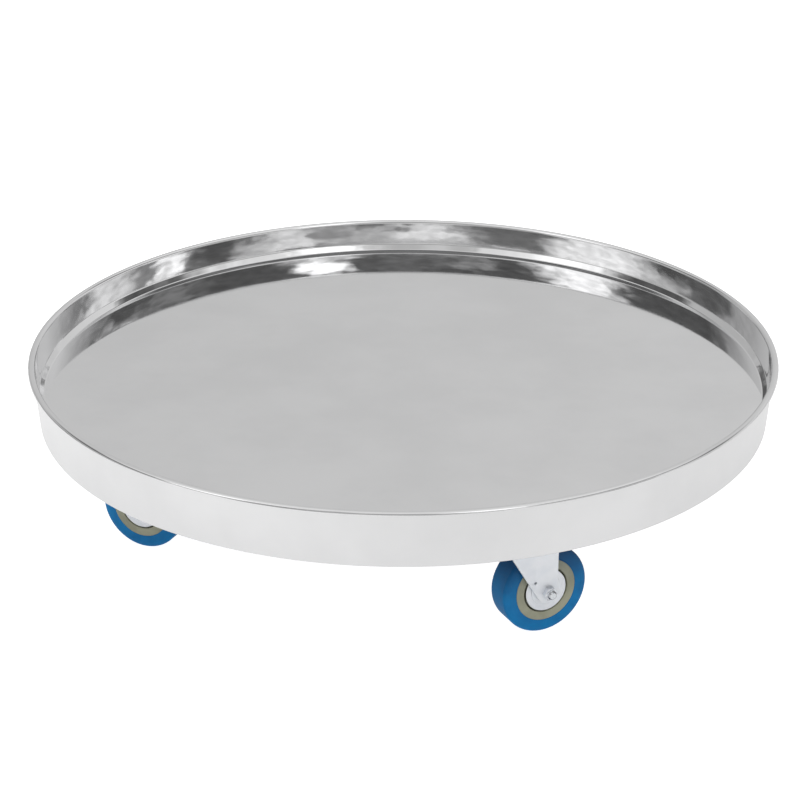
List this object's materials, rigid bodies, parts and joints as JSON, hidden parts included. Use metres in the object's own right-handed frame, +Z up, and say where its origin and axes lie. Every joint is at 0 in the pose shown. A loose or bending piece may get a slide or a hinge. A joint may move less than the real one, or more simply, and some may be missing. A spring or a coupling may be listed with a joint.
{
  "type": "drum dolly",
  "caption": "Round polished steel tray with a raised lip and a deep skirt, carried on swivel casters, for rolling a drum about.",
  "frame": {"origin": "on the ground under the centre of the round tray", "axes": "+Z up; casters lie on the X and Y axes; -Y is towards the caster called front, +X towards the one called right"},
  "size_m": [0.6499, 0.65, 0.146],
  "materials": {
    "polished_stainless": "polished stainless steel sheet, near mirror, very slight waviness",
    "channel_stainless": "mill-finish folded stainless sheet",
    "zinc_plate": "bright blue-white zinc plate on pressed steel",
    "fastener_zinc": "bright zinc plate",
    "bearing_steel": "ground steel",
    "blue_rubber": "smooth satin blue elastic rubber",
    "core_plastic": "moulded olive-beige plastic, satin",
    "bush_nylon": "natural nylon"
  },
  "bodies": {
    "chassis": {"tray_pan": "polished_stainless", "skirt_band": "polished_stainless", "cross_channel_long": "channel_stainless", "cross_channel_front": "channel_stainless", "cross_channel_rear": "channel_stainless", "caster_bolts": "fastener_zinc", "caster_washers": "fastener_zinc", "weld_nuts": "fastener_zinc", "right_top_plate": "zinc_plate", "right_king_pin": "fastener_zinc", "right_race_cup": "zinc_plate", "rear_top_plate": "zinc_plate", "rear_king_pin": "fastener_zinc", "rear_race_cup": "zinc_plate", "left_top_plate": "zinc_plate", "left_king_pin": "fastener_zinc", "left_race_cup": "zinc_plate", "front_top_plate": "zinc_plate", "front_king_pin": "fastener_zinc", "front_race_cup": "zinc_plate"},
    "right_swivel": {"right_fork": "zinc_plate", "right_swivel_balls": "bearing_steel", "right_axle_bolt": "fastener_zinc", "right_axle_nut": "fastener_zinc", "right_axle_sleeve": "bearing_steel", "right_hub_discs": "zinc_plate"},
    "right_wheel": {"right_tyre": "blue_rubber", "right_wheel_core": "core_plastic", "right_wheel_bushes": "bush_nylon"},
    "rear_swivel": {"rear_fork": "zinc_plate", "rear_swivel_balls": "bearing_steel", "rear_axle_bolt": "fastener_zinc", "rear_axle_nut": "fastener_zinc", "rear_axle_sleeve": "bearing_steel", "rear_hub_discs": "zinc_plate"},
    "rear_wheel": {"rear_tyre": "blue_rubber", "rear_wheel_core": "core_plastic", "rear_wheel_bushes": "bush_nylon"},
    "left_swivel": {"left_fork": "zinc_plate", "left_swivel_balls": "bearing_steel", "left_axle_bolt": "fastener_zinc", "left_axle_nut": "fastener_zinc", "left_axle_sleeve": "bearing_steel", "left_hub_discs": "zinc_plate"},
    "left_wheel": {"left_tyre": "blue_rubber", "left_wheel_core": "core_plastic", "left_wheel_bushes": "bush_nylon"},
    "front_swivel": {"front_fork": "zinc_plate", "front_swivel_balls": "bearing_steel", "front_axle_bolt": "fastener_zinc", "front_axle_nut": "fastener_zinc", "front_axle_sleeve": "bearing_steel", "front_hub_discs": "zinc_plate"},
    "front_wheel": {"front_tyre": "blue_rubber", "front_wheel_core": "core_plastic", "front_wheel_bushes": "bush_nylon"}
  },
  "joints": [
    {"name": "right_swivel_turn", "type": "hinge", "parent": "chassis", "child": "right_swivel", "pos_m": [0.262, 0, 0.0897], "axis": [0, 0, 1], "continuous": true},
    {"name": "right_wheel_spin", "type": "hinge", "parent": "right_swivel", "child": "right_wheel", "pos_m": [0.22911, 0.01197, 0.0375], "axis": [-0.342, -0.9397, 0], "continuous": true},
    {"name": "rear_swivel_turn", "type": "hinge", "parent": "chassis", "child": "rear_swivel", "pos_m": [0, 0.262, 0.0897], "axis": [0, 0, 1], "continuous": true},
    {"name": "rear_wheel_spin", "type": "hinge", "parent": "rear_swivel", "child": "rear_wheel", "pos_m": [-0.01906, 0.23265, 0.0375], "axis": [0.8387, -0.5446, 0], "continuous": true},
    {"name": "left_swivel_turn", "type": "hinge", "parent": "chassis", "child": "left_swivel", "pos_m": [-0.262, 0, 0.0897], "axis": [0, 0, 1], "continuous": true},
    {"name": "left_wheel_spin", "type": "hinge", "parent": "left_swivel", "child": "left_wheel", "pos_m": [-0.23599, -0.02342, 0.0375], "axis": [0.6691, 0.7431, 0], "continuous": true},
    {"name": "front_swivel_turn", "type": "hinge", "parent": "chassis", "child": "front_swivel", "pos_m": [0, -0.262, 0.0897], "axis": [0, 0, 1], "continuous": true},
    {"name": "front_wheel_spin", "type": "hinge", "parent": "front_swivel", "child": "front_wheel", "pos_m": [0.03452, -0.25622, 0.0375], "axis": [-0.165, 0.9863, 0], "continuous": true}
  ]
}
